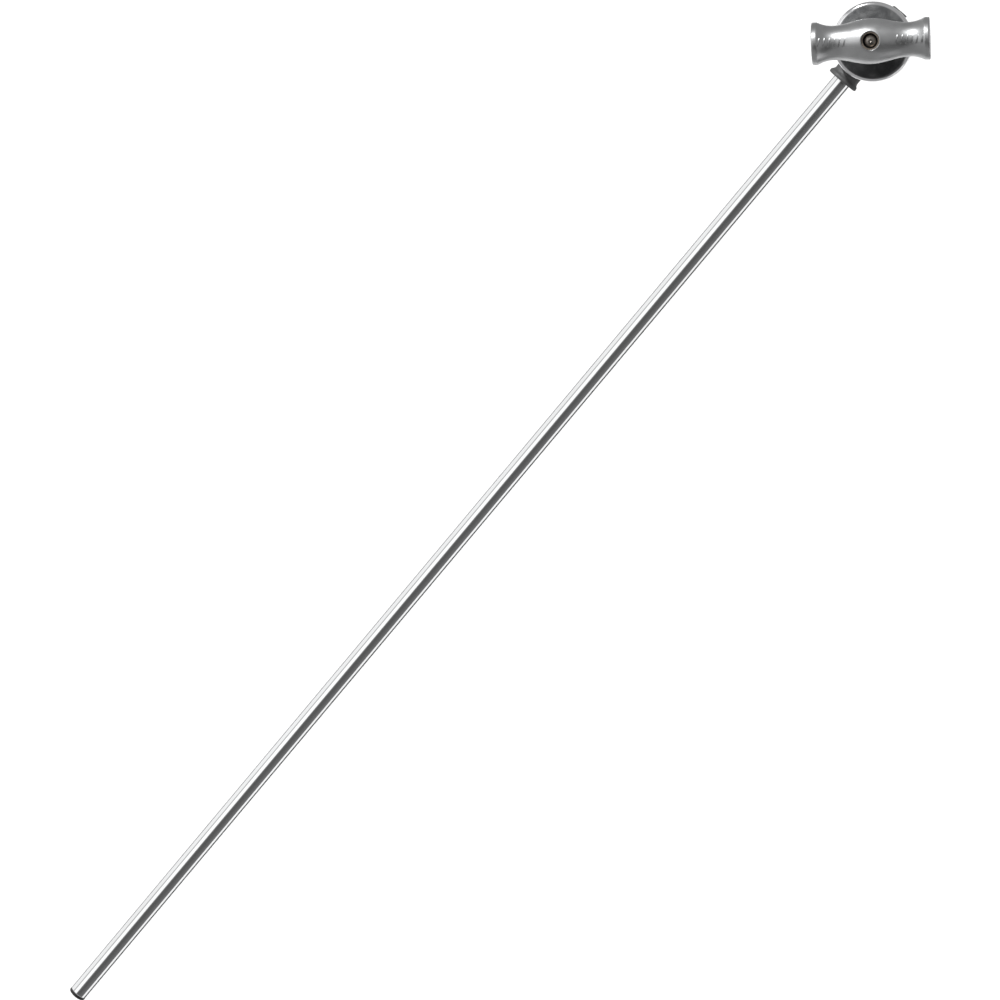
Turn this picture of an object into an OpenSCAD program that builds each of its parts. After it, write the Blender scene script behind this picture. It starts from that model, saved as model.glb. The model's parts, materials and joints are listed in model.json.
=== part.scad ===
// Extension grip arm with a grip head: a round steel rod whose one end is fixed in a cast socket,
// and a pair of round jaws clamped on a bolt by a T-handle.
// Frame: the origin is the centre of the rod's free end, +X runs along the rod to the head,
// and +Z runs along the clamp bolt to the T-handle.

/* [Rod] */
// Outside diameter of the rod, five eighths of an inch
rod_d = 15.875; // [12.7:0.025:15.875]
// Length of rod between its free end and the socket lip
rod_exposed = 1016; // [508:1:1016]
// Wall thickness of the rod's tube
rod_wall = 2; // [1.5:0.1:3]

/* [Socket casting] */
// Distance from the socket lip to the bolt axis
lip_to_bolt = 40.5; // [39:0.5:50]
// Outside radius of the socket behind its lip
socket_r = 11.2; // [10.8:0.1:12.5]
// Outside radius of the socket lip
lip_r = 13.4; // [12.8:0.1:15]
// Radius of the round plate that carries the jaws
plate_r = 29.5; // [26:0.5:31]

/* [Jaws] */
// Outside radius of both jaws, half of two and a half inches
jaw_r = 31.75; // [31:0.25:34]
// Thickness of each jaw at its middle
jaw_t = 13; // [12.8:0.1:14]
// Radius of the rounded rim on each jaw's outer face
rim_r = 3; // [2:0.25:3.5]
// Radius of the shallow dome of the outer jaw's face
dome_r = 300; // [280:10:600]
// Gap between the two jaws when the handle is tight
jaw_gap = 0.3; // [0.2:0.1:0.5]

/* [Clamp bolt] */
// Bolt diameter, three eighths of an inch
bolt_d = 9.525; // [8:0.025:9.525]
// Hexagon head size across its flats
head_flats = 14.3; // [13:0.1:15]
// Travel of the outer jaw from closed to open, five turns of the bolt's thread
open_travel = 7.9375; // [6:0.0625:7.9375]

/* [T-handle] */
// Length of the T-handle from end to end
handle_len = 93; // [84:1:100]
// Radius of the handle's end rims
handle_end_r = 16.7; // [15:0.1:18]
// Radius of the handle's two necks
handle_neck_r = 13.5; // [12:0.1:14]
// Radius of the handle's middle
handle_mid_r = 18; // [17:0.1:19]
// Angle of the handle from the rod's direction when tight
handle_angle = -47.7; // [-90:0.1:90]

/* [Hidden] */
$fn = 64;

run_clear = 0.05;                 // radial clearance of every turning or sliding fit
face_gap = 0.05;                  // gap between flat faces that turn on each other
cut = 1;                          // how far a cutting tool runs past the face it cuts

// Rod and socket
rod_r = rod_d / 2;
spigot_step = 0.25;               // the rod's end is turned down where the socket holds it
spigot_r = rod_r - spigot_step;
spigot_len = 33;
bolt_x = rod_exposed + lip_to_bolt;
pin_from_lip = 14;
socket_pin_r = 1.5;
socket_pin_bore = 0.7;
socket_pin_len = 7.5;
socket_pin_spare = 0.2;           // room left in the hole past the pin's inner end
socket_pin_sunk = 0.3;             // how far the pin's end lies below the socket's skin
plug_len = 16;
plug_flange = 3;
plug_r = rod_r - 0.2;
plug_body_r = rod_r - rod_wall - 0.3;
plug_rib_r = rod_r - rod_wall - 0.08;
plug_rib_t = 1.2;
plug_ribs = [4, 8, 12];

// Levels along the bolt, from the back to the front
plate_z0 = 5.5;
plate_z1 = 12.5;
pad_r = 13.5;
pad_z = -15;
head_t = 5.2;
washer_t = 0.8;
washer_r = 8.3;
washer_side = 0.1;                // gap round the head washer in its seat
head_side = 0.2;                  // how much smaller the head is than its pocket
rib_w = 13.2;
rib_end = 32.4;
rib_z = -7;
fibre_t = 1.45;
fibre_r = 26;
fibre_bore = 12;
rear_z0 = plate_z1 + fibre_t + face_gap;
rear_z1 = rear_z0 + jaw_t;
part_z = rear_z1 + jaw_gap / 2;
front_z0 = rear_z1 + jaw_gap;
front_z1 = front_z0 + jaw_t;

// Channels for rods and studs: distance from the bolt axis, nominal diameter, angle about the bolt
clamp_clear = 0.05;
channels = [
    [16.6, 15.875, 0],
    [15.2, 12.7, 180],
    [13.8, 9.525, -90],
    [12.4, 6.35, 90]
];
pin_r = 2;
pin_x = 25;
pin_floor = 2;                    // metal left below the dowels in the rear jaw
pin_roof = 1.5;                   // metal left above their holes in the front jaw

// Spring between the jaws
well_r = 7.3;
well_depth_rear = 8.5;
seat_t = 0.8;
seat_r = 6.9;
seat_bore = 4.95;
wire_r = 0.55;
coil_r = 6.05;
coil_turns = 7;
coil_steps = 20;
wire_sides = 8;
spring_z0 = rear_z1 - well_depth_rear + seat_t;
well_roof = 2.7;                  // metal left over the spring's well in the front jaw
front_floor = front_z1 - well_roof;
spring_z1 = front_floor - seat_t;

// Thrust bearing between the outer jaw and the handle
race_r = 13.5;
race_bore = 5.2;
race_t = 1;
race_sink = 0.8;
race_side = 0.2;                  // gap round the race in the outer jaw
roller_r = 0.95;
roller_in = 8.2;
roller_len = 4.2;
roller_count = 16;
cage_t = 1.1;
cage_in = 6.6;
pocket_gap = 0.02;
race1_z0 = front_z1 - race_sink;
roller_z = race1_z0 + race_t + face_gap + roller_r;
race2_z0 = roller_z + roller_r + face_gap;
hub_z = race2_z0 + race_t;

// Handle
hub_h = 23.5;
handle_z = hub_z + hub_h;
hub_r = 14.6;
cover_r = 16;
cover_gap = 0.35;
cover_lap = 6;                    // length of the hub that the cover grips
neck_s = 29.5;
flare_r = 26.7;
bore_r = 7.1;
bore_mouth_r = 8.1;
bore_chamfer = 1.2;               // depth of the chamfer below the handle's crest
insert_r = 8.5;
insert_len = 21;
sleeve_bore = 6.0;
sleeve_top = handle_z + handle_mid_r - 3.5;
insert_pin_r = 1.25;
insert_pin_end = 6.2;             // distance of the pin's inner end from the bolt axis
insert_pin_z = hub_z + 9;
ring_spare = 2.5625;              // free way left under the stop ring when the jaws are fully open
ring_z = hub_z + insert_len + open_travel + ring_spare;
ring_t = 1.3;
ring_r = 5.7;
groove_r = bolt_d / 2 - 0.6;
bolt_end_z = ring_z + 4;

// Half of the handle's outline: its radius at a distance s from the bolt axis
function handle_radius(s) =
    s < neck_s
    ? handle_neck_r + (handle_mid_r - handle_neck_r) * (1 + cos(180 * s / neck_s)) / 2
    : min(handle_end_r, handle_neck_r + flare_r - sqrt(flare_r * flare_r - pow(s - neck_s, 2)));

// Moves the head's own drawing to the bolt axis
module at_head() {
    translate([bolt_x, 0, 0]) children();
}

// A round washer or ring standing on the level z
module ring(outer, inner, z, t) {
    translate([0, 0, z])
        difference() {
            cylinder(r = outer, h = t);
            translate([0, 0, -cut]) cylinder(r = inner, h = t + 2 * cut);
        }
}

// A cylinder lying along X from x0 to x1
module rod_x(r, x0, x1) {
    translate([x0, 0, 0]) rotate([0, 90, 0]) cylinder(r = r, h = x1 - x0);
}

// The long straight steel tube
module arm_rod() {
    color("silver")
        difference() {
            union() {
                rod_x(rod_r, 0, rod_exposed);
                rod_x(spigot_r, rod_exposed - cut, rod_exposed + spigot_len);
            }
            rod_x(rod_r - rod_wall, -cut, rod_exposed + spigot_len + cut);
            translate([rod_exposed + pin_from_lip, 0, -rod_d]) cylinder(r = socket_pin_r, h = rod_d);
        }
}

// Plastic plug that closes the free end: a domed flange and a ribbed spigot
module rod_end_plug() {
    edge = 0.5;
    color("black")
        rotate([0, -90, 0]) {
            rotate_extrude()
                union() {
                    square([plug_r, plug_flange - edge]);
                    square([plug_r - edge, plug_flange]);
                    translate([plug_r - edge, plug_flange - edge]) circle(r = edge);
                }
            translate([0, 0, -plug_len]) cylinder(r = plug_body_r, h = plug_len);
            for (rib = plug_ribs)
                translate([0, 0, -rib]) cylinder(r = plug_rib_r, h = plug_rib_t);
        }
}

// Outline of the socket, turned about the rod's axis: lip, hollow flare and barrel
module socket_outline() {
    lip_t = 2.6;
    hollow_r = 4;
    lip_round = 1.2;
    lip_step = 0.4;
    barrel_short = 4;
    barrel_len = lip_to_bolt - barrel_short;
    union() {
        square([socket_r, barrel_len]);
        translate([0, lip_round]) square([lip_r, lip_t - lip_round]);
        square([lip_r - lip_round, lip_t]);
        translate([lip_r - lip_round, lip_round]) circle(r = lip_round);
        difference() {
            square([lip_r - lip_step, lip_t + hollow_r]);
            translate([socket_r + hollow_r, lip_t + hollow_r]) circle(r = hollow_r);
        }
    }
}

// Rear casting: rod socket, round plate, bolt pad with a hexagon pocket, and a rib to the far side
module arm_casting() {
    edge = 1.5;
    color("dimgray")
        at_head()
            difference() {
                union() {
                    translate([-lip_to_bolt, 0, 0]) rotate([0, 90, 0]) rotate_extrude() socket_outline();
                    translate([0, 0, plate_z0])
                        rotate_extrude()
                            union() {
                                translate([0, edge]) square([plate_r, plate_z1 - plate_z0 - edge]);
                                square([plate_r - edge, edge]);
                                translate([plate_r - edge, edge]) circle(r = edge);
                            }
                    translate([0, 0, pad_z]) cylinder(r = pad_r, h = plate_z1 - pad_z);
                    translate([0, -rib_w / 2, rib_z]) cube([rib_end, rib_w, plate_z1 - rib_z]);
                }
                rod_x(spigot_r, -lip_to_bolt - cut, spigot_len - lip_to_bolt);
                translate([0, 0, pad_z - cut]) cylinder(r = bolt_d / 2, h = plate_z1 - pad_z + 2 * cut);
                translate([0, 0, pad_z - cut]) hexagon(head_flats, cut + head_t + washer_t);
                translate([pin_from_lip - lip_to_bolt, 0, -socket_r - cut])
                    cylinder(r = socket_pin_r, h = cut + socket_pin_sunk + socket_pin_len + socket_pin_spare);
                round_pocket();
            }
}

// Seat of the head washer, turned in the bottom of the hexagon pocket
module round_pocket() {
    translate([0, 0, pad_z + head_t]) cylinder(r = washer_r + washer_side, h = washer_t);
}

// A hexagonal prism standing on z = 0
module hexagon(flats, h) {
    cylinder(r = flats / sqrt(3), h = h, $fn = 6);
}

// Spring pin through the back of the socket and the rod's rear wall
module socket_pin() {
    color("gray")
        at_head()
            translate([pin_from_lip - lip_to_bolt, 0, 0])
                ring(socket_pin_r - 0.02, socket_pin_bore, socket_pin_sunk - socket_r, socket_pin_len);
}

// Clamp bolt: hexagon head, long shank, and a groove near the tip for the stop ring
module clamp_bolt() {
    tip_round = 1.2;
    root = 0.5;
    shank = bolt_end_z - pad_z - head_t + root;
    color("slategray")
        at_head() {
            translate([0, 0, pad_z]) hexagon(head_flats - head_side, head_t);
            difference() {
                translate([0, 0, pad_z + head_t - root])
                    rotate_extrude()
                        union() {
                            square([bolt_d / 2, shank - tip_round]);
                            square([bolt_d / 2 - tip_round, shank]);
                            translate([bolt_d / 2 - tip_round, shank - tip_round]) circle(r = tip_round);
                        }
                ring(bolt_d, groove_r, ring_z, ring_t);
            }
        }
}

// Plain washer between the bolt head and the casting
module bolt_head_washer() {
    color("lightgray") at_head() ring(washer_r, bolt_d / 2, pad_z + head_t, washer_t);
}

// Fibre washer that the rear jaw turns on
module friction_washer() {
    color("sienna") at_head() ring(fibre_r, fibre_bore, plate_z1, fibre_t);
}

// The four channels, cut half into each jaw at the parting level
module channel_cuts() {
    for (c = channels)
        rotate([0, 0, c[2]])
            translate([0, c[0], part_z])
                rotate([0, 90, 0])
                    cylinder(r = c[1] / 2 + clamp_clear, h = 3 * jaw_r, center = true);
}

// Rear jaw's blank: a disc with a small rounded rim on its outer face
module flat_blank(round_r) {
    rotate_extrude()
        union() {
            square([jaw_r, jaw_t - round_r]);
            square([jaw_r - round_r, jaw_t]);
            translate([jaw_r - round_r, jaw_t - round_r]) circle(r = round_r);
        }
}

// Outer jaw's blank: a disc with a shallow domed face that ends in a rounded rim
module domed_blank() {
    drop = dome_r - sqrt(dome_r * dome_r - pow(jaw_r - rim_r, 2));
    rotate_extrude()
        union() {
            square([jaw_r, jaw_t - drop - rim_r]);
            translate([jaw_r - rim_r, jaw_t - drop - rim_r]) circle(r = rim_r);
            intersection() {
                square([jaw_r - rim_r, jaw_t]);
                translate([0, jaw_t - dome_r]) circle(r = dome_r, $fn = 1440);
            }
        }
}

// Rear jaw, which turns on the bolt against the fibre washer
module rear_jaw() {
    color("silver")
        at_head()
            difference() {
                translate([0, 0, rear_z1]) mirror([0, 0, 1]) flat_blank(rim_r / 2);
                channel_cuts();
                translate([0, 0, rear_z0 - cut]) cylinder(r = bolt_d / 2 + run_clear, h = jaw_t + 2 * cut);
                translate([0, 0, rear_z1 - well_depth_rear]) cylinder(r = well_r, h = jaw_t);
                for (side = [-1, 1])
                    translate([side * pin_x, 0, rear_z0 + pin_floor]) cylinder(r = pin_r, h = jaw_t);
            }
}

// Front jaw, the polished disc behind the handle, with a seat for the thrust bearing
module front_jaw() {
    color("silver")
        at_head()
            difference() {
                translate([0, 0, front_z0]) domed_blank();
                channel_cuts();
                translate([0, 0, front_z0 - cut]) cylinder(r = bolt_d / 2 + run_clear, h = jaw_t + 2 * cut);
                translate([0, 0, front_z0 - cut]) cylinder(r = well_r, h = front_floor - front_z0 + cut);
                translate([0, 0, race1_z0]) cylinder(r = race_r + race_side, h = jaw_t);
                for (side = [-1, 1])
                    translate([side * pin_x, 0, front_z0 - cut])
                        cylinder(r = pin_r + run_clear, h = jaw_t - pin_roof + cut);
            }
}

// Two dowels fixed in the rear jaw that keep the channels of both jaws in line
module jaw_guide_pins() {
    color("gray")
        at_head()
            for (side = [-1, 1])
                translate([side * pin_x, 0, rear_z0 + pin_floor])
                    cylinder(r = pin_r, h = 2 * (jaw_t - pin_floor) + jaw_gap);
}

// Point on the spring wire's skin: turn angle a, angle b round the wire
function wire_point(a, b, z) =
    let (r = coil_r + wire_r * cos(b))
    [bolt_x + r * cos(a), r * sin(a), z + wire_r * sin(b)];

// Helical spring that opens the jaws when the handle is slackened
module jaw_spring() {
    rings = coil_turns * coil_steps;
    rise = spring_z1 - spring_z0 - 2 * wire_r;
    points = [
        for (i = [0 : rings], j = [0 : wire_sides - 1])
            let (z = spring_z0 + wire_r + rise * i / rings)
            wire_point(360 * i / coil_steps, 360 * (j + 0.5) / wire_sides, z)
    ];
    sides = [
        for (i = [0 : rings - 1], j = [0 : wire_sides - 1])
            let (k = (j + 1) % wire_sides)
            [i * wire_sides + j, i * wire_sides + k, (i + 1) * wire_sides + k, (i + 1) * wire_sides + j]
    ];
    first_cap = [for (j = [wire_sides - 1 : -1 : 0]) j];
    last_cap = [for (j = [0 : wire_sides - 1]) rings * wire_sides + j];
    color("gray") polyhedron(points = points, faces = concat(sides, [first_cap, last_cap]), convexity = 20);
}

// Seat washers at the two ends of the spring
module spring_washer_rear() {
    color("lightgray") at_head() ring(seat_r, seat_bore, spring_z0 - seat_t, seat_t);
}

module spring_washer_front() {
    color("lightgray") at_head() ring(seat_r, bolt_d / 2 + run_clear, spring_z1, seat_t);
}

// Thrust bearing: two races, a cage with pockets, and its rollers
module bearing_race_rear() {
    color("silver") at_head() ring(race_r, race_bore, race1_z0, race_t);
}

module bearing_race_front() {
    color("silver") at_head() ring(race_r, race_bore, race2_z0, race_t);
}

module bearing_cage() {
    color("goldenrod")
        at_head()
            difference() {
                ring(race_r - race_side, cage_in, roller_z - cage_t / 2, cage_t);
                for (i = [0 : roller_count - 1])
                    rotate([0, 0, 360 * i / roller_count])
                        translate([roller_in - pocket_gap, -roller_r - pocket_gap, roller_z - cage_t])
                            cube([roller_len + 2 * pocket_gap, 2 * (roller_r + pocket_gap), 2 * cage_t]);
            }
}

module bearing_rollers() {
    color("silver")
        at_head()
            for (i = [0 : roller_count - 1])
                rotate([0, 0, 360 * i / roller_count])
                    translate([roller_in, 0, roller_z])
                        rotate([0, 90, 0])
                            cylinder(r = roller_r, h = roller_len);
}

// Cup pressed on the handle's hub that shields the bearing
module bearing_cover() {
    color("darkgray")
        at_head()
            translate([0, 0, front_z1 + cover_gap])
                ring(cover_r, hub_r, 0, hub_z + cover_lap - front_z1 - cover_gap);
}

// Turned outline of the T-handle, drawn from its middle to one end
module handle_outline() {
    steps = 40;
    half = handle_len / 2;
    edge = 0.8;
    full = [for (i = [0 : steps]) let (s = (half - edge) * i / steps) [handle_radius(s), s]];
    polygon(concat([[0, 0]], full, [[handle_end_r - edge, half], [0, half]]));
}

// T-handle: flared bar with a hub at the back and a chamfered bore for the bolt's tip
module handle() {
    color("gainsboro")
        at_head()
            rotate([0, 0, handle_angle])
                difference() {
                    union() {
                        for (side = [-1, 1])
                            translate([0, 0, handle_z])
                                rotate([0, side * 90, 0])
                                    rotate_extrude() handle_outline();
                        translate([0, 0, hub_z]) cylinder(r = hub_r, h = handle_z - hub_z);
                    }
                    translate([0, 0, handle_z - handle_mid_r]) bore_tool();
                    translate([0, 0, hub_z - cut]) cylinder(r = insert_r, h = insert_len + cut);
                    insert_pin_body(cut);
                }
}

// Tool for the bore above the insert and for its chamfer
module bore_tool() {
    top = 2 * handle_mid_r;
    cylinder(r = bore_r, h = top + cut);
    translate([0, 0, top - bore_chamfer])
        cylinder(r1 = bore_r, r2 = bore_mouth_r, h = bore_chamfer + 0.001);
}

// Threaded bush in the handle, drawn with a plain running bore, and its sleeve round the stop ring
module handle_insert() {
    sleeve_z = hub_z + insert_len;
    color("peru")
        at_head()
            difference() {
                union() {
                    ring(insert_r, bolt_d / 2 + run_clear, hub_z, insert_len);
                    ring(bore_r, sleeve_bore, sleeve_z, sleeve_top - sleeve_z);
                }
                rotate([0, 0, handle_angle]) insert_pin_body(0);
            }
}

// Pin that locks the bush in the handle's hub
module insert_pin() {
    color("gray") at_head() rotate([0, 0, handle_angle]) insert_pin_body(0);
}

module insert_pin_body(extra) {
    translate([0, -hub_r - extra, insert_pin_z])
        rotate([-90, 0, 0])
            cylinder(r = insert_pin_r, h = hub_r - insert_pin_end + extra);
}

// Ring in the bolt's groove that stops the handle from coming off
module stop_ring() {
    color("black") at_head() ring(ring_r, groove_r, ring_z, ring_t);
}

arm_rod();
rod_end_plug();
arm_casting();
socket_pin();
clamp_bolt();
bolt_head_washer();
friction_washer();
rear_jaw();
front_jaw();
jaw_guide_pins();
jaw_spring();
spring_washer_rear();
spring_washer_front();
bearing_race_rear();
bearing_cage();
bearing_rollers();
bearing_race_front();
bearing_cover();
handle();
handle_insert();
insert_pin();
stop_ring();
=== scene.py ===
"""Looks of the extension grip arm: a chromed rod with a grip head, seen from above on a pale floor.

In the shared frame, in metres, the rod runs along +X from its free end to the head, and the clamp bolt
and its T-handle stand along +Z. Outlines are drawn in millimetres and turned to metres by scaled().
"""
import json
import math

import bmesh
import bpy
from mathutils import Matrix, Vector


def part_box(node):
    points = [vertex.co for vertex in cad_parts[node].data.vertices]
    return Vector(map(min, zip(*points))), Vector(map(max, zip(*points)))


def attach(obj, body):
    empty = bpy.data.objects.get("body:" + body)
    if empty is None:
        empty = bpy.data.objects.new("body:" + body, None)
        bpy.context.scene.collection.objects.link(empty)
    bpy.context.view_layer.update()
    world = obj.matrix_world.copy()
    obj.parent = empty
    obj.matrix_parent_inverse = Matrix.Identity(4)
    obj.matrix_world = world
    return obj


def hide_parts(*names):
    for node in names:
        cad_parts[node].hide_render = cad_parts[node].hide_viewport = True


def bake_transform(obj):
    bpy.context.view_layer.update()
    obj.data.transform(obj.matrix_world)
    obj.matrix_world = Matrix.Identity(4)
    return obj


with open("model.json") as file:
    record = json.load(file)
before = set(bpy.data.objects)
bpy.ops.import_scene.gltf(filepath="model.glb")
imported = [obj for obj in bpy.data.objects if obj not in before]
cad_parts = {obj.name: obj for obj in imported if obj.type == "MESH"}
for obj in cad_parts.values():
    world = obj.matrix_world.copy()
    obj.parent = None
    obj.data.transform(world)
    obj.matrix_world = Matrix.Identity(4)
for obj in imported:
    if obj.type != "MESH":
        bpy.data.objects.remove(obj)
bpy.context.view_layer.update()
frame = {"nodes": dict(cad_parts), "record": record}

MM = 0.001
TAU = 2 * math.pi

# Camera, fitted to the view of the arm
CAMERA_PLACE = Vector((1.099, -0.1134, 2.7764))
CAMERA_AIM = Vector((0.5706, -0.0057, 0.0))
CAMERA_UP_ANGLE = math.radians(39.66)
CAMERA_LENS = 122.08
SENSOR_WIDTH = 36.0

# Pale floor below the arm: its level and its four edges
FLOOR_Z = -0.9
FLOOR_X = (-0.60, 1.36)
FLOOR_Y = (-0.93, 0.86)

# Studio light
KEY_DIRECTION = Vector((0.35, 0.665, 0.661))
KEY_STRENGTH = 2.0
KEY_ANGLE = math.radians(4.0)
BACKDROP_DIRECTION = Vector((0.2, -0.78, 0.6))
BACKDROP_STRENGTH = 2.2
BACKDROP_ANGLE = math.radians(20)
SURROUND_STRENGTH = 1.62
# Brightness of the surroundings about the rod: degrees from straight up, positive towards -Y
SURROUND_BANDS = (
    (-180, 0.04), (-125, 0.04), (-119, 0.68), (-66, 0.70), (-62, 0.24), (-55, 0.24), (-51, 0.82),
    (-15, 0.84), (-11, 0.16), (-4, 0.07), (4, 0.025), (24, 0.035), (52, 0.07), (75, 0.11), (80, 0.80),
    (104, 0.78), (109, 0.04), (180, 0.04),
)
# The bands fade into an even wall outside this range of directions along the rod
BAND_RANGE = (-0.52, -0.40, 0.02, 0.10)
WALL_LEVEL = 0.25
# Level of the surroundings where the picture shows them past the floor's edges
SEEN_LEVEL = 0.74

# Places taken from the frame
_, ROD_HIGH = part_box("arm_rod")
ROD_R = ROD_HIGH.z
BOLT_LOW, BOLT_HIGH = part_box("clamp_bolt")
BOLT_X = (BOLT_LOW.x + BOLT_HIGH.x) / 2
BOLT_PLACE = Matrix.Translation((BOLT_X, 0, 0))
CAST_LOW, CAST_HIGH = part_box("arm_casting")
HANDLE_LOW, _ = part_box("handle")
SEAT_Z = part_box("spring_washer_rear")[1].z
SEAT_TOP_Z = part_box("spring_washer_front")[0].z


# ---------------------------------------------------------------- materials

class Shader:
    """A material under construction, with short calls for the nodes it needs."""

    def __init__(self, name, **inputs):
        self.material = bpy.data.materials.new(name)
        self.material.use_nodes = True
        self.tree = self.material.node_tree
        self.surface = self.tree.nodes["Principled BSDF"]
        self.coords = self.node("ShaderNodeTexCoord").outputs["Object"]
        for key, value in inputs.items():
            self.surface.inputs[key.replace("_", " ")].default_value = value

    def node(self, kind, **settings):
        made = self.tree.nodes.new(kind)
        for key, value in settings.items():
            setattr(made, key, value)
        return made

    def link(self, a, b):
        self.tree.links.new(a, b)

    def stretched(self, scale):
        mapping = self.node("ShaderNodeMapping")
        mapping.inputs["Scale"].default_value = scale
        self.link(self.coords, mapping.inputs["Vector"])
        return mapping.outputs["Vector"]

    def noise(self, scale, detail=3.0, rough=0.55, stretch=(1, 1, 1), distortion=0.0):
        made = self.node("ShaderNodeTexNoise")
        made.inputs["Scale"].default_value = scale
        made.inputs["Detail"].default_value = detail
        made.inputs["Roughness"].default_value = rough
        made.inputs["Distortion"].default_value = distortion
        self.link(self.stretched(stretch), made.inputs["Vector"])
        return made.outputs["Fac"]

    def ramp(self, factor, stops):
        made = self.node("ShaderNodeValToRGB")
        elements = made.color_ramp.elements
        while len(elements) < len(stops):
            elements.new(0.5)
        for element, (place, colour) in zip(elements, stops):
            element.position = place
            element.color = (*colour, 1.0)
        self.link(factor, made.inputs["Fac"])
        return made.outputs["Color"]

    def spread(self, factor, low, high, start=0.3, end=0.7):
        made = self.node("ShaderNodeMapRange")
        made.inputs["From Min"].default_value = start
        made.inputs["From Max"].default_value = end
        made.inputs["To Min"].default_value = low
        made.inputs["To Max"].default_value = high
        self.link(factor, made.inputs["Value"])
        return made.outputs["Result"]

    def colour(self, socket):
        self.link(socket, self.surface.inputs["Base Color"])

    def roughness(self, socket):
        self.link(socket, self.surface.inputs["Roughness"])

    def bumps(self, *layers):
        """Stacks bump layers, each (height socket, depth in metres, strength)."""
        normal = None
        for height, depth, strength in layers:
            made = self.node("ShaderNodeBump")
            made.inputs["Distance"].default_value = depth
            made.inputs["Strength"].default_value = strength
            self.link(height, made.inputs["Height"])
            if normal is not None:
                self.link(normal, made.inputs["Normal"])
            normal = made.outputs["Normal"]
        self.link(normal, self.surface.inputs["Normal"])


def grey(level, warm=0.0):
    """A neutral colour, made warmer or, below 0, cooler."""
    return (level * (1 + warm), level, level * (1 - warm))


def chrome_rod():
    shader = Shader("rod_chrome", Metallic=0.9)
    patches = shader.noise(6.0, 4.0, 0.6, (1, 8, 8))
    shader.colour(shader.ramp(patches, [(0.3, grey(0.74, -0.005)), (0.7, grey(0.80, -0.01))]))
    shader.roughness(shader.spread(shader.noise(40.0, 4.0, 0.6, (0.2, 1, 1)), 0.03, 0.07))
    draw_lines = shader.noise(900.0, 2.0, 0.5, (0.004, 1, 1))
    waves = shader.noise(30.0, 2.0, 0.5, (0.25, 1, 1))
    shader.bumps((waves, 0.00006, 0.25), (draw_lines, 0.000006, 0.25))
    return shader.material


def plug_plastic():
    shader = Shader("plug_plastic", IOR=1.48)
    shader.colour(shader.ramp(shader.noise(300.0, 3.0), [(0.3, grey(0.010)), (0.7, grey(0.018, 0.02))]))
    shader.roughness(shader.spread(shader.noise(700.0), 0.32, 0.48))
    shader.bumps((shader.noise(2500.0, 2.0), 0.00004, 0.3))
    return shader.material


def cast_grey():
    shader = Shader("cast_grey", Metallic=0.55)
    blotches = shader.noise(70.0, 5.0, 0.6)
    tones = [(0.25, grey(0.115)), (0.55, grey(0.15, -0.01)), (0.8, grey(0.19))]
    shader.colour(shader.ramp(blotches, tones))
    shader.roughness(shader.spread(shader.noise(350.0, 4.0), 0.55, 0.75))
    coarse, fine = shader.noise(450.0, 5.0, 0.65), shader.noise(1800.0, 3.0, 0.6)
    shader.bumps((coarse, 0.00025, 0.55), (fine, 0.00008, 0.5))
    return shader.material


def away_from_bolt(shader):
    """Distance of a surface point from the bolt axis, for a shader under construction."""
    flat = shader.node("ShaderNodeVectorMath", operation="MULTIPLY")
    flat.inputs[1].default_value = (1, 1, 0)
    shader.link(shader.coords, flat.inputs[0])
    away = shader.node("ShaderNodeVectorMath", operation="DISTANCE")
    shader.link(flat.outputs["Vector"], away.inputs[0])
    away.inputs[1].default_value = (BOLT_X, 0, 0)
    return away.outputs["Value"]


def mix_colours(shader, share, first, second):
    """Mixes two colours, each a socket or a plain colour."""
    mixed = shader.node("ShaderNodeMixRGB")
    shader.link(share, mixed.inputs["Fac"])
    for key, value in (("Color1", first), ("Color2", second)):
        if isinstance(value, tuple):
            mixed.inputs[key].default_value = (*value, 1)
        else:
            shader.link(value, mixed.inputs[key])
    return mixed.outputs["Color"]


# Radius from which the front jaw's rounded rim is painted bright as a highlight, and the width over which
# that painted highlight fades in
JAW_RIM_HIGHLIGHT_R = 0.0294
JAW_RIM_HIGHLIGHT_BLEND = 0.001


def polished_jaw():
    """Hand-polished aluminium: a darker marbled face inside a rim painted pale as a highlight."""
    shader = Shader("jaw_polished", Metallic=1.0)
    marble = shader.noise(85.0, 6.0, 0.62, (1, 1, 1), 0.6)
    tones = [(0.3, grey(0.17, -0.03)), (0.5, grey(0.28, -0.02)), (0.72, grey(0.48, -0.01))]
    face = shader.ramp(marble, tones)
    # painted highlight: the rim gets a pale colour for the light its rounded edge catches
    rim_highlight = shader.spread(away_from_bolt(shader), 0.0, 1.0, JAW_RIM_HIGHLIGHT_R - JAW_RIM_HIGHLIGHT_BLEND, JAW_RIM_HIGHLIGHT_R)
    shader.colour(mix_colours(shader, rim_highlight, face, (0.74, 0.74, 0.75)))
    shader.roughness(shader.spread(shader.noise(120.0, 4.0, 0.6), 0.10, 0.20))
    shader.bumps((shader.noise(140.0, 3.0, 0.5), 0.0003, 0.15), (shader.noise(1400.0, 3.0), 0.00003, 0.25))
    return shader.material


def handle_alloy():
    """Satin cast aluminium."""
    shader = Shader("handle_alloy", Metallic=1.0)
    tone = shader.noise(45.0, 5.0, 0.6)
    shader.colour(shader.ramp(tone, [(0.3, grey(0.37, -0.01)), (0.7, grey(0.50, -0.01))]))
    shader.roughness(shader.spread(shader.noise(160.0, 4.0), 0.32, 0.42))
    shader.bumps((shader.noise(60.0, 3.0), 0.0005, 0.10), (shader.noise(1600.0, 4.0, 0.6), 0.00004, 0.45))
    return shader.material


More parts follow.
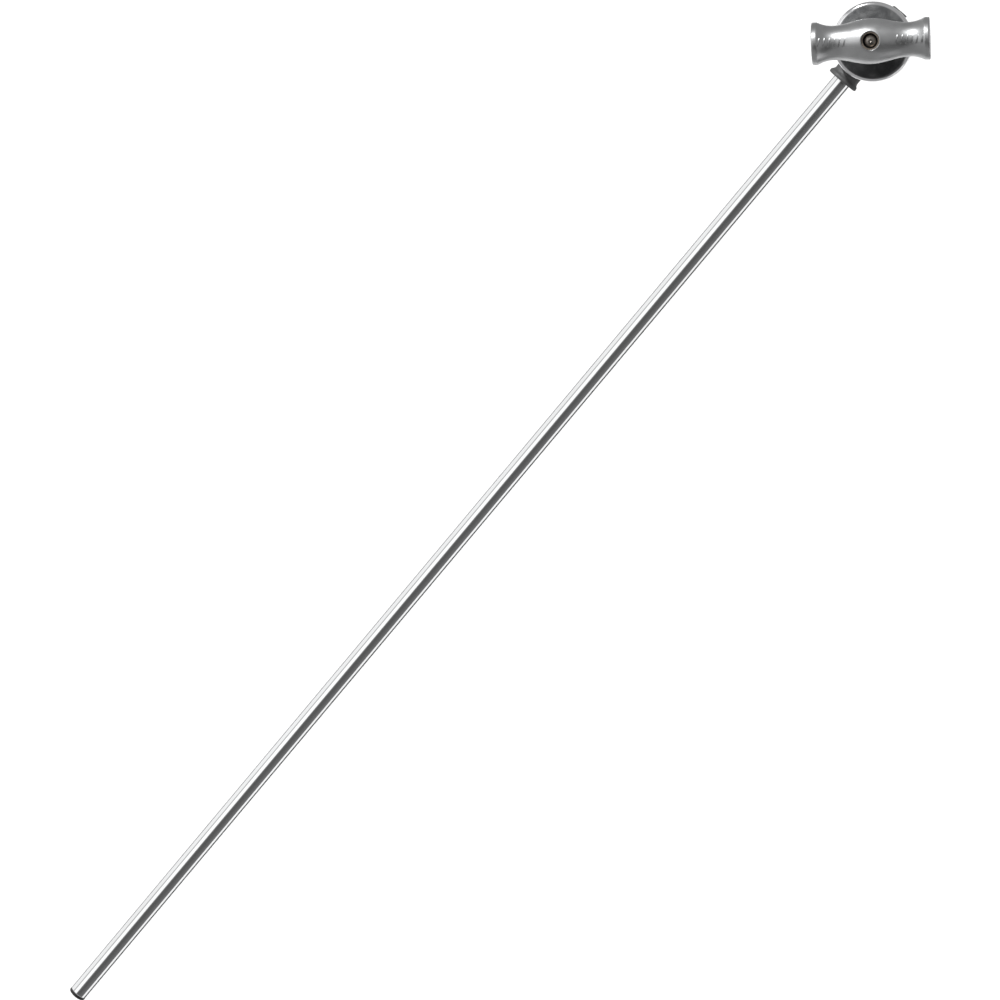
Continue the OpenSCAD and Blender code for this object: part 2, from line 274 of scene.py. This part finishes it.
def worn_metal(name, dark, light, warm, rough, scale=250.0):
    """Plain machined or plated metal with a mottled tone and fine marks."""
    shader = Shader(name, Metallic=1.0)
    tones = [(0.3, grey(dark, warm)), (0.7, grey(light, warm))]
    shader.colour(shader.ramp(shader.noise(scale * 0.4, 5.0, 0.6), tones))
    shader.roughness(shader.spread(shader.noise(scale, 4.0), rough - 0.06, rough + 0.08))
    shader.bumps((shader.noise(scale * 4, 3.0, 0.6), 0.00004, 0.4))
    return shader.material


def fibre_board():
    shader = Shader("fibre", IOR=1.45)
    flecks = shader.noise(600.0, 4.0, 0.7, (1, 1, 4))
    shader.colour(shader.ramp(flecks, [(0.3, (0.10, 0.035, 0.02)), (0.7, (0.22, 0.09, 0.05))]))
    shader.roughness(shader.spread(flecks, 0.7, 0.9))
    shader.bumps((shader.noise(1500.0, 4.0), 0.00008, 0.5))
    return shader.material


def black_oxide():
    shader = Shader("black_oxide", Metallic=0.8)
    shader.colour(shader.ramp(shader.noise(400.0, 4.0), [(0.3, grey(0.012)), (0.7, grey(0.03))]))
    shader.roughness(shader.spread(shader.noise(500.0), 0.35, 0.55))
    shader.bumps((shader.noise(2500.0, 3.0), 0.00003, 0.4))
    return shader.material


def pale_floor():
    shader = Shader("pale_floor", Roughness=0.85)
    shader.colour(shader.ramp(shader.noise(1.5, 2.0), [(0.3, grey(0.90)), (0.7, grey(0.92))]))
    return shader.material


MATERIALS = {
    "rod_chrome": chrome_rod(),
    "plug_plastic": plug_plastic(),
    "cast_grey": cast_grey(),
    "bolt_steel": worn_metal("bolt_steel", 0.16, 0.30, 0.10, 0.30),
    "zinc_steel": worn_metal("zinc_steel", 0.50, 0.66, -0.01, 0.32),
    "fibre": fibre_board(),
    "jaw_alloy": worn_metal("jaw_alloy", 0.48, 0.62, -0.01, 0.34, 160.0),
    "jaw_polished": polished_jaw(),
    "spring_steel": worn_metal("spring_steel", 0.28, 0.42, 0.0, 0.28),
    "bearing_steel": worn_metal("bearing_steel", 0.50, 0.62, 0.0, 0.2),
    "cage_brass": worn_metal("cage_brass", 0.42, 0.60, 0.35, 0.3),
    "handle_alloy": handle_alloy(),
    "insert_bronze": worn_metal("insert_bronze", 0.20, 0.33, 0.16, 0.42),
    "black_oxide": black_oxide(),
}


# ---------------------------------------------------------------- mesh helpers

# Grain of the melted castings, in metres, and how far a cutter runs past a face, in millimetres
CAST_VOXEL = 0.42 * MM
OVERRUN = 2


def finished(name, mesh, slot, body, *nodes, sharp=35.0):
    """Makes the object of a mesh, gives it its material, and puts it in the place of its CAD nodes."""
    mesh.shade_smooth()
    mesh.set_sharp_from_angle(angle=math.radians(sharp))
    piece = bpy.data.objects.new(name, mesh)
    bpy.context.scene.collection.objects.link(piece)
    mesh.materials.append(MATERIALS[slot])
    if body is not None:
        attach(piece, body)
    if nodes:
        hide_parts(*nodes)
    return piece


def mesh_of(bm, name):
    bmesh.ops.recalc_face_normals(bm, faces=bm.faces)
    mesh = bpy.data.meshes.new(name)
    bm.to_mesh(mesh)
    bm.free()
    return mesh


def lathe(bm, outline, place, steps):
    """Turns an outline of (radius, height) points about Z. A radius of 0 closes an end."""
    rings = []
    for radius, height in outline:
        if radius == 0:
            rings.append([bm.verts.new(place @ Vector((0, 0, height)))])
            continue
        angles = [TAU * i / steps for i in range(steps)]
        spots = [Vector((radius * math.cos(angle), radius * math.sin(angle), height)) for angle in angles]
        rings.append([bm.verts.new(place @ spot) for spot in spots])
    for one, other in zip(rings, rings[1:]):
        for i in range(steps):
            j = (i + 1) % steps
            corners = [one[i % len(one)], one[j % len(one)], other[j % len(other)], other[i % len(other)]]
            bm.faces.new(list(dict.fromkeys(corners)))


def skin(bm, rings):
    """Joins each ring of vertices to the next."""
    for one, other in zip(rings, rings[1:]):
        for i in range(len(one)):
            j = (i + 1) % len(one)
            bm.faces.new((one[i], one[j], other[j], other[i]))


def arc(centre, radius, start, end, steps):
    """Points (radius, height) along an arc, with its angles in degrees."""
    points = []
    for i in range(steps + 1):
        angle = math.radians(start + (end - start) * i / steps)
        points.append((centre[0] + radius * math.cos(angle), centre[1] + radius * math.sin(angle)))
    return points


def cylinder(radius, low, high):
    """Outline of a plain closed cylinder."""
    return [(0, low), (radius, low), (radius, high), (0, high)]


def scaled(points):
    """Turns an outline in millimetres to metres."""
    return [(r * MM, h * MM) for r, h in points]


def turned(outline, place, steps):
    """A new mesh turned from an outline in millimetres."""
    bm = bmesh.new()
    lathe(bm, scaled(outline), place, steps)
    return bm


def along_x(x=0.0):
    """A place on the X axis whose own Z runs along +X."""
    return Matrix.Translation((x, 0, 0)) @ Matrix.Rotation(math.radians(90), 4, "Y")


def evaluated(piece):
    graph = bpy.context.evaluated_depsgraph_get()
    return bpy.data.meshes.new_from_object(piece.evaluated_get(graph))


def scratch_object(bm, name):
    piece = bpy.data.objects.new(name, mesh_of(bm, name))
    bpy.context.scene.collection.objects.link(piece)
    return piece


def cut_away(blank, cutter_bm, name):
    """Adds the cut to the blank and returns the cutter, which stays until the blank is evaluated."""
    cutter = scratch_object(cutter_bm, name)
    cut = blank.modifiers.new("cut", "BOOLEAN")
    cut.operation = "DIFFERENCE"
    cut.solver = "EXACT"
    cut.object = cutter
    return cutter


def cast_and_cut(name, body_bm, cutter_bms, rounds):
    """Melts overlapping solids into one casting with soft fillets, then cuts crisp machined faces."""
    blank = scratch_object(body_bm, name + "_blank")
    remesh = blank.modifiers.new("melt", "REMESH")
    remesh.mode = "VOXEL"
    remesh.voxel_size = CAST_VOXEL
    soften = blank.modifiers.new("soften", "SMOOTH")
    soften.factor = 0.5
    soften.iterations = rounds
    spare = [blank]
    for i, cutter_bm in enumerate(cutter_bms):
        spare.append(cut_away(blank, cutter_bm, f"{name}_cutter{i}"))
    mesh = evaluated(blank)
    mesh.name = name
    for piece in spare:
        bpy.data.objects.remove(piece)
    return mesh


# ---------------------------------------------------------------- rod and plug

def make_rod():
    r, length = ROD_R / MM, ROD_HIGH.x / MM
    wall, chamfer, edge = 2.0, 0.3, 0.35
    bore_drawn = 18.0
    first_ring, ring_gap, end_gap = 1.0, 25.0, 20.0
    bore = r - wall
    outline = [(bore, bore_drawn), (bore, chamfer), (bore + chamfer, 0.0), (r - edge, 0.0)]
    outline += arc((r - edge, edge), edge, -90, 0, 4)[1:]
    outline += [(r, first_ring + i * ring_gap) for i in range(int(length / ring_gap))]
    outline += [(r, length - end_gap)]
    mesh = mesh_of(turned(outline, along_x(), 160), "chrome_tube")
    finished("chrome_tube", mesh, "rod_chrome", "arm", "arm_rod")


def make_plug():
    low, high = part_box("rod_end_plug")
    face, r = low.x / MM, high.z / MM
    crown, edge, seam = 0.25, 0.5, 0.1
    barrel_r, barrel_end, lead = 5.8, 16.0, 0.5
    # shallow ring that the mould leaves in the middle of the end face
    mark = [(1.2, 0.0), (1.4, 0.12), (2.0, 0.12), (2.2, 0.02)]
    outline = [(0, face)] + [(radius, face + depth) for radius, depth in mark]
    outline += [(r * 0.6, face + crown * 0.3)]
    outline += arc((r - edge, face + crown + edge), edge, -90, 0, 6)
    outline += [(r, -seam / 2), (r - seam, 0.0), (barrel_r, 0.0), (barrel_r, barrel_end - lead)]
    outline += [(barrel_r - lead, barrel_end), (0, barrel_end)]
    mesh = mesh_of(turned(outline, along_x(), 96), "end_plug")
    finished("end_plug", mesh, "plug_plastic", "arm", "rod_end_plug")


# ---------------------------------------------------------------- casting

def socket_outline():
    """The flared socket, from its lip towards the bolt."""
    lip_r, lip_edge, lip_t, lip_step = 13.4, 1.2, 2.6, 0.4
    barrel_r, hollow_r, hollow_start, length = 11.2, 4.0, 237, 36.5
    outline = [(0, 0)]
    outline += arc((lip_r - lip_edge, lip_edge), lip_edge, -90, 0, 6)
    outline += [(lip_r, lip_t - lip_step)]
    outline += arc((barrel_r + hollow_r, lip_t + hollow_r), hollow_r, hollow_start, 180, 8)
    return outline + [(barrel_r, length), (0, length)]


def plate_outline(top):
    """The round plate behind the rear jaw."""
    radius, low, edge = 29.5, 5.5, 1.5
    rim = arc((radius - edge, low + edge), edge, -90, 0, 5)
    return [(0, low)] + rim + [(radius, top), (0, top)]


def pad_outline(low, top):
    """The pad that holds the bolt's head. Its upper end is sunk in the plate."""
    radius, chamfer, sunk = 13.5, 0.8, top - 1
    return [(0, low), (radius - chamfer, low), (radius, low + chamfer), (radius, sunk), (0, sunk)]


def add_rib(bm, top):
    """A flat-ended rib that runs out past the jaws, opposite the socket."""
    width, low = 13.2, -7.0
    size = Vector(((CAST_HIGH.x - BOLT_X) / MM, width, top - low)) * MM
    middle = Vector((BOLT_X + size.x / 2, 0, (top + low) / 2 * MM))
    rib = bmesh.ops.create_cube(bm, size=1.0)["verts"]
    bmesh.ops.scale(bm, vec=size, verts=rib)
    bmesh.ops.translate(bm, vec=middle, verts=rib)


def rod_bore():
    """Cutter for the socket's bore, which widens a little at its mouth."""
    bore_r, mouth_r, mouth_t, depth = 7.95, 8.05, 0.5, 34
    outline = [(0, -OVERRUN), (mouth_r, -OVERRUN), (mouth_r, 0.0), (bore_r, mouth_t)]
    return turned(outline + [(bore_r, depth), (0, depth)], along_x(CAST_LOW.x), 96)


def pin_hole():
    """Cutter for the hole of the pin that locks the rod."""
    low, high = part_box("socket_pin")
    place = Matrix.Translation(((low.x + high.x) / 2, 0, 0))
    radius, bottom, top = 1.52, -20, -3
    return turned(cylinder(radius, bottom, top), place, 48)


def make_casting():
    top, pad_z = CAST_HIGH.z / MM, CAST_LOW.z / MM
    hole_r, pocket_r, pocket_depth = 4.9, 8.35, 5.9
    body = turned(socket_outline(), along_x(CAST_LOW.x), 96)
    lathe(body, scaled(plate_outline(top)), BOLT_PLACE, 128)
    lathe(body, scaled(pad_outline(pad_z, top)), BOLT_PLACE, 96)
    add_rib(body, top)
    bolt_hole = turned(cylinder(hole_r, pad_z - OVERRUN, top + OVERRUN), BOLT_PLACE, 48)
    head_pocket = turned(cylinder(pocket_r, pad_z - OVERRUN, pad_z + pocket_depth), BOLT_PLACE, 6)
    cutters = [rod_bore(), bolt_hole, head_pocket, pin_hole()]
    mesh = cast_and_cut("arm_casting_body", body, cutters, rounds=5)
    finished("socket_casting", mesh, "cast_grey", "arm", "arm_casting", sharp=40.0)


# ---------------------------------------------------------------- bolt and spring

# The bolt and its thread, in millimetres
BOLT_R = 4.7625
THREAD_PITCH = 1.5875
THREAD_LENGTH = 38.0
THREAD_DEPTH = 0.62
THREAD_RUN_IN = 1.5                 # turns over which the thread reaches its full depth
RINGS_PER_TURN = 8


def thread_radius(turns, share):
    """Radius after so many turns of thread, at a share of a turn around the bolt."""
    rise = abs(2 * ((turns - share) % 1.0) - 1)
    flank = max(0.0, min(1.0, (rise - 0.15) / 0.7))
    return BOLT_R - THREAD_DEPTH * min(1.0, turns / THREAD_RUN_IN) * flank


def add_thread(bm, bottom, count, tip_r, steps):
    """Threaded stretch of the bolt, whose last ring closes onto the tip."""
    rings = []
    for k in range(count + 1):
        turns = k / RINGS_PER_TURN
        whole = min(1.0, 2 * (count - k) / RINGS_PER_TURN)
        ring = []
        for i in range(steps):
            radius = tip_r + (thread_radius(turns, i / steps) - tip_r) * whole
            around = TAU * i / steps
            x, y = radius * math.cos(around), radius * math.sin(around)
            spot = Vector((x, y, bottom + turns * THREAD_PITCH))
            ring.append(bm.verts.new(BOLT_PLACE @ (spot * MM)))
        rings.append(ring)
    skin(bm, rings)


def make_bolt():
    """Bolt with a hexagon head, a plain shank and a cut thread up to its domed tip."""
    steps = 48
    low, high = BOLT_LOW.z / MM, BOLT_HIGH.z / MM
    thread_from = high - THREAD_LENGTH
    tip_r, tip_height = BOLT_R - THREAD_DEPTH * 0.4, 1.0
    head_r, head_t, head_sunk = 14.1 / math.sqrt(3), 5.2, 0.6
    bm = turned([(BOLT_R, low + head_t - head_sunk), (BOLT_R, thread_from)], BOLT_PLACE, steps)
    count = int((high - tip_height - thread_from) / THREAD_PITCH * RINGS_PER_TURN)
    add_thread(bm, thread_from, count, tip_r, steps)
    tip = [(tip_r, thread_from + count * THREAD_PITCH / RINGS_PER_TURN)]
    # domed end with a centre mark, as radii and depths below the bolt's highest level
    dome = [(4.35, 0.75), (3.7, 0.48), (2.9, 0.25), (2.2, 0.08), (1.5, 0), (1.1, 0.35), (0, 0.7)]
    tip += [(radius, high - drop) for radius, drop in dome]
    lathe(bm, scaled(tip), BOLT_PLACE, steps)
    head = [(0, low), (head_r - 0.9, low), (head_r, low + 0.5), (head_r, low + head_t - 0.3)]
    head += [(head_r - 0.4, low + head_t), (0, low + head_t)]
    lathe(bm, scaled(head), BOLT_PLACE, 6)
    finished("head_bolt", mesh_of(bm, "head_bolt"), "bolt_steel", "arm", "clamp_bolt")


def make_spring():
    """Wire spring with closed ends, wound between the seats of the two spring washers."""
    wire, radius, turns, steps, sides = 0.55 * MM, 6.05 * MM, 7, 36, 12
    flattening = 0.045
    bottom, top = SEAT_Z + wire, SEAT_TOP_Z - wire
    bm = bmesh.new()
    rings = []
    count = turns * steps
    for k in range(count + 1):
        share = k / count
        # the first and last turns lie almost flat on their seats
        eased = share - flattening * math.sin(2 * TAU * share)
        z = bottom + (top - bottom) * min(1.0, max(0.0, eased))
        angle = TAU * k / steps
        ring = []
        for i in range(sides):
            around = TAU * i / sides
            r = radius + wire * math.cos(around)
            spot = (BOLT_X + r * math.cos(angle), r * math.sin(angle), z + wire * math.sin(around))
            ring.append(bm.verts.new(spot))
        rings.append(ring)
    skin(bm, rings)
    bm.faces.new(rings[0])
    bm.faces.new(rings[-1])
    piece = finished("wire_spring", mesh_of(bm, "wire_spring"), "spring_steel", None, sharp=60.0)
    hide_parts("jaw_spring")
    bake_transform(piece)


# ---------------------------------------------------------------- T-handle, in millimetres

HANDLE_HALF = 46.4
HUB_HEIGHT = 23.5
HANDLE_ANGLE = math.radians(-47.7)
END_R, NECK_R, MID_R = 16.7, 13.5, 18.0
NECK_S, FLARE_R = 29.5, 26.7
HUB_R = 14.55
BORE_R, BORE_RIM_R = 7.12, 8.1


def handle_radius(s):
    """Radius of the handle at a distance s from its middle."""
    if s < NECK_S:
        return NECK_R + (MID_R - NECK_R) * (1 + math.cos(math.pi * s / NECK_S)) / 2
    return min(END_R, NECK_R + FLARE_R - math.sqrt(FLARE_R ** 2 - (s - NECK_S) ** 2))


def handle_frame():
    """Where the handle's own axes lie: X along its bar, Z along the bolt, the origin at its middle."""
    z = HANDLE_LOW.z + HUB_HEIGHT * MM
    return Matrix.Translation((BOLT_X, 0, z)) @ Matrix.Rotation(HANDLE_ANGLE, 4, "Z")


def add_ridge(bm, place, s):
    """One short raised bar across the handle's crest, at a distance s from its middle."""
    half_length, half_width, height_over, slant = 3.9, 0.8, 0.38, math.radians(14)
    root, crest_share, stretches = 0.5, 0.55, 8
    crest = handle_radius(abs(s))
    sections = []
    for i in range(stretches + 1):
        across = half_length * (2 * i / stretches - 1)
        over = height_over * math.sqrt(max(0.0, 1 - (across / half_length) ** 4))
        level = math.sqrt(crest ** 2 - across ** 2)
        middle = s + across * math.tan(slant)
        profile = ((-1, -root), (-crest_share, over), (crest_share, over), (1, -root))
        sections.append([
            bm.verts.new(place @ (Vector((middle + dx * half_width, across, level + dz)) * MM))
            for dx, dz in profile
        ])
    skin(bm, sections)
    bm.faces.new(sections[0])
    bm.faces.new(sections[-1][::-1])


def grip_ridges(place):
    """Short raised bars on the crest of both wings, where the hand's palm rests."""
    count, spacing, first = 6, 4.1, 20.3
    bm = bmesh.new()
    for side in (-1, 1):
        for k in range(count):
            add_ridge(bm, place, side * (first + k * spacing))
    return bm


def bore_rim(place):
    """Rounded rim where the bore runs out through the bar's curved crest."""
    bm = bmesh.new()
    steps = 128
    fillet = BORE_RIM_R - BORE_R
    profile = [(BORE_R, -5.0 * fillet)]
    profile += [(BORE_RIM_R + r, d - fillet) for r, d in arc((0, 0), fillet, 180, 90, 8)]
    rings = []
    for i in range(steps):
        angle = TAU * i / steps
        ring = []
        for r, drop in profile:
            x, y = r * math.cos(angle), r * math.sin(angle)
            height = math.sqrt(handle_radius(abs(x)) ** 2 - y ** 2) + drop
            ring.append(bm.verts.new(place @ (Vector((x, y, height)) * MM)))
        rings.append(ring)
    for one, other in zip(rings, rings[1:] + rings[:1]):
        for k in range(len(profile) - 1):
            bm.faces.new((one[k], other[k], other[k + 1], one[k + 1]))
    return bm


def grip_outline():
    """The handle's bar from end to end, with rounded ends whose faces are very slightly dished."""
    steps, edge = 60, 0.9
    reach = HANDLE_HALF - edge
    half = [(handle_radius(reach * i / steps), reach * i / steps) for i in range(steps + 1)]
    half += arc((END_R - edge, reach), edge, 0, 90, 5)[1:]
    half += [(END_R - 4.0, HANDLE_HALF - 0.25), (6.0, HANDLE_HALF - 0.45), (0, HANDLE_HALF - 0.5)]
    return [(r, -s) for r, s in reversed(half)] + half[1:]


def make_handle():
    place = handle_frame()
    across = place @ Matrix.Rotation(math.radians(90), 4, "Y")
    hub_low, hub_top, shoulder, taper = -HUB_HEIGHT, -4.0, -12.0, 2
    bore_floor, bore_top, seat_r, seat_depth = -5.0, MID_R + 4, 8.5, 21
    body = turned(grip_outline(), across, 160)
    hub = [(0, hub_low), (HUB_R, hub_low), (HUB_R, shoulder), (HUB_R - taper, hub_top), (0, hub_top)]
    lathe(body, scaled(hub), place, 128)
    # the bore's cut stays just inside the rim piece, which covers its edge
    bore = turned(cylinder(BORE_RIM_R - 0.05, bore_floor, bore_top), place, 128)
    seat = turned(cylinder(seat_r, hub_low - OVERRUN, hub_low + seat_depth), place, 96)
    casting = cast_and_cut("handle_casting", body, [bore, seat], rounds=4)
    finished("handle_casting", casting, "handle_alloy", "t_handle", "handle")
    finished("bore_rim", mesh_of(bore_rim(place), "bore_rim"), "handle_alloy", "t_handle", sharp=80.0)
    finished("handle_ridges", mesh_of(grip_ridges(place), "handle_ridges"), "handle_alloy", "t_handle")


# ---------------------------------------------------------------- remaining pieces keep their CAD shape

def dress_cad_nodes():
    slots = {part["node"]: part["material_slot"] for part in frame["record"]["subparts"]}
    for name, piece in frame["nodes"].items():
        piece.data.materials.clear()
        piece.data.materials.append(MATERIALS[slots[name]])


# ---------------------------------------------------------------- stage

def make_floor():
    (left, right), (near, far) = FLOOR_X, FLOOR_Y
    bm = bmesh.new()
    corners = ((left, near), (right, near), (right, far), (left, far))
    bm.faces.new([bm.verts.new((x, y, FLOOR_Z)) for x, y in corners])
    floor = bpy.data.objects.new("floor", mesh_of(bm, "floor"))
    bpy.context.scene.collection.objects.link(floor)
    floor.data.materials.append(pale_floor())
    return floor


def make_sun(name, direction, strength, angle):
    lamp = bpy.data.lights.new(name, "SUN")
    lamp.energy = strength
    lamp.angle = angle
    sun = bpy.data.objects.new(name, lamp)
    sun.rotation_euler = direction.to_track_quat("Z", "Y").to_euler()
    bpy.context.scene.collection.objects.link(sun)
    return sun


def make_lights(floor):
    """A compact key lamp for the arm, and a backdrop lamp that lights the floor alone."""
    make_sun("key", KEY_DIRECTION, KEY_STRENGTH, KEY_ANGLE)
    backdrop = make_sun("backdrop", BACKDROP_DIRECTION, BACKDROP_STRENGTH, BACKDROP_ANGLE)
    lit = bpy.data.collections.new("backdrop_lit")
    lit.objects.link(floor)
    backdrop.light_linking.receiver_collection = lit


def make_surroundings():
    """White studio walls and a dark room behind the camera, in bands about the rod's direction."""
    world = bpy.data.worlds.new("studio")
    bpy.context.scene.world = world
    world.use_nodes = True
    tree = world.node_tree
    new, link = tree.nodes.new, tree.links.new
    background = tree.nodes["Background"]
    axes = new("ShaderNodeSeparateXYZ")
    link(new("ShaderNodeTexCoord").outputs["Generated"], axes.inputs[0])

    def math_node(operation, first, second=None):
        made = new("ShaderNodeMath")
        made.operation = operation
        for socket, value in zip(made.inputs, (first, second)):
            if value is None:
                continue
            if isinstance(value, (int, float)):
                socket.default_value = value
            else:
                link(value, socket)
        return made.outputs[0]

    aside = math_node("MULTIPLY", axes.outputs["Y"], -1.0)
    angle = math_node("ARCTAN2", aside, axes.outputs["Z"])
    share = math_node("ADD", math_node("DIVIDE", angle, TAU), 0.5)
    ramp = new("ShaderNodeValToRGB")
    elements = ramp.color_ramp.elements
    while len(elements) < len(SURROUND_BANDS):
        elements.new(0.5)
    for element, (degrees, level) in zip(elements, SURROUND_BANDS):
        element.position = degrees / 360 + 0.5
        element.color = (level, level, level, 1)
    link(share, ramp.inputs["Fac"])

    def fade(low, high):
        made = new("ShaderNodeMapRange")
        made.inputs["From Min"].default_value = low
        made.inputs["From Max"].default_value = high
        link(axes.outputs["X"], made.inputs["Value"])
        return made.outputs["Result"]

    # further along the rod both ways, the bands run together into an even wall
    beyond = math_node("ADD", math_node("SUBTRACT", 1.0, fade(*BAND_RANGE[:2])), fade(*BAND_RANGE[2:]))
    blend = new("ShaderNodeMixRGB")
    blend.inputs["Color2"].default_value = (WALL_LEVEL, WALL_LEVEL, WALL_LEVEL, 1)
    link(beyond, blend.inputs["Fac"])
    link(ramp.outputs["Color"], blend.inputs["Color1"])
    seen = new("ShaderNodeMixRGB")
    seen.inputs["Color2"].default_value = (SEEN_LEVEL, SEEN_LEVEL, SEEN_LEVEL, 1)
    link(new("ShaderNodeLightPath").outputs["Is Camera Ray"], seen.inputs["Fac"])
    link(blend.outputs["Color"], seen.inputs["Color1"])
    link(seen.outputs["Color"], background.inputs["Color"])
    background.inputs["Strength"].default_value = SURROUND_STRENGTH


def make_camera():
    data = bpy.data.cameras.new("camera")
    data.lens = CAMERA_LENS
    data.sensor_width = SENSOR_WIDTH
    data.clip_end = 100.0
    camera = bpy.data.objects.new("camera", data)
    back = (CAMERA_PLACE - CAMERA_AIM).normalized()
    up_hint = Vector((math.cos(CAMERA_UP_ANGLE), math.sin(CAMERA_UP_ANGLE), 0))
    right = up_hint.cross(back).normalized()
    up = back.cross(right)
    camera.matrix_world = Matrix.Translation(CAMERA_PLACE) @ Matrix((right, up, back)).transposed().to_4x4()
    bpy.context.scene.collection.objects.link(camera)
    bpy.context.scene.camera = camera


make_camera()
make_lights(make_floor())
make_surroundings()
bpy.context.scene.view_settings.view_transform = "Standard"
dress_cad_nodes()
make_rod()
make_plug()
make_casting()
make_bolt()
make_spring()
make_handle()
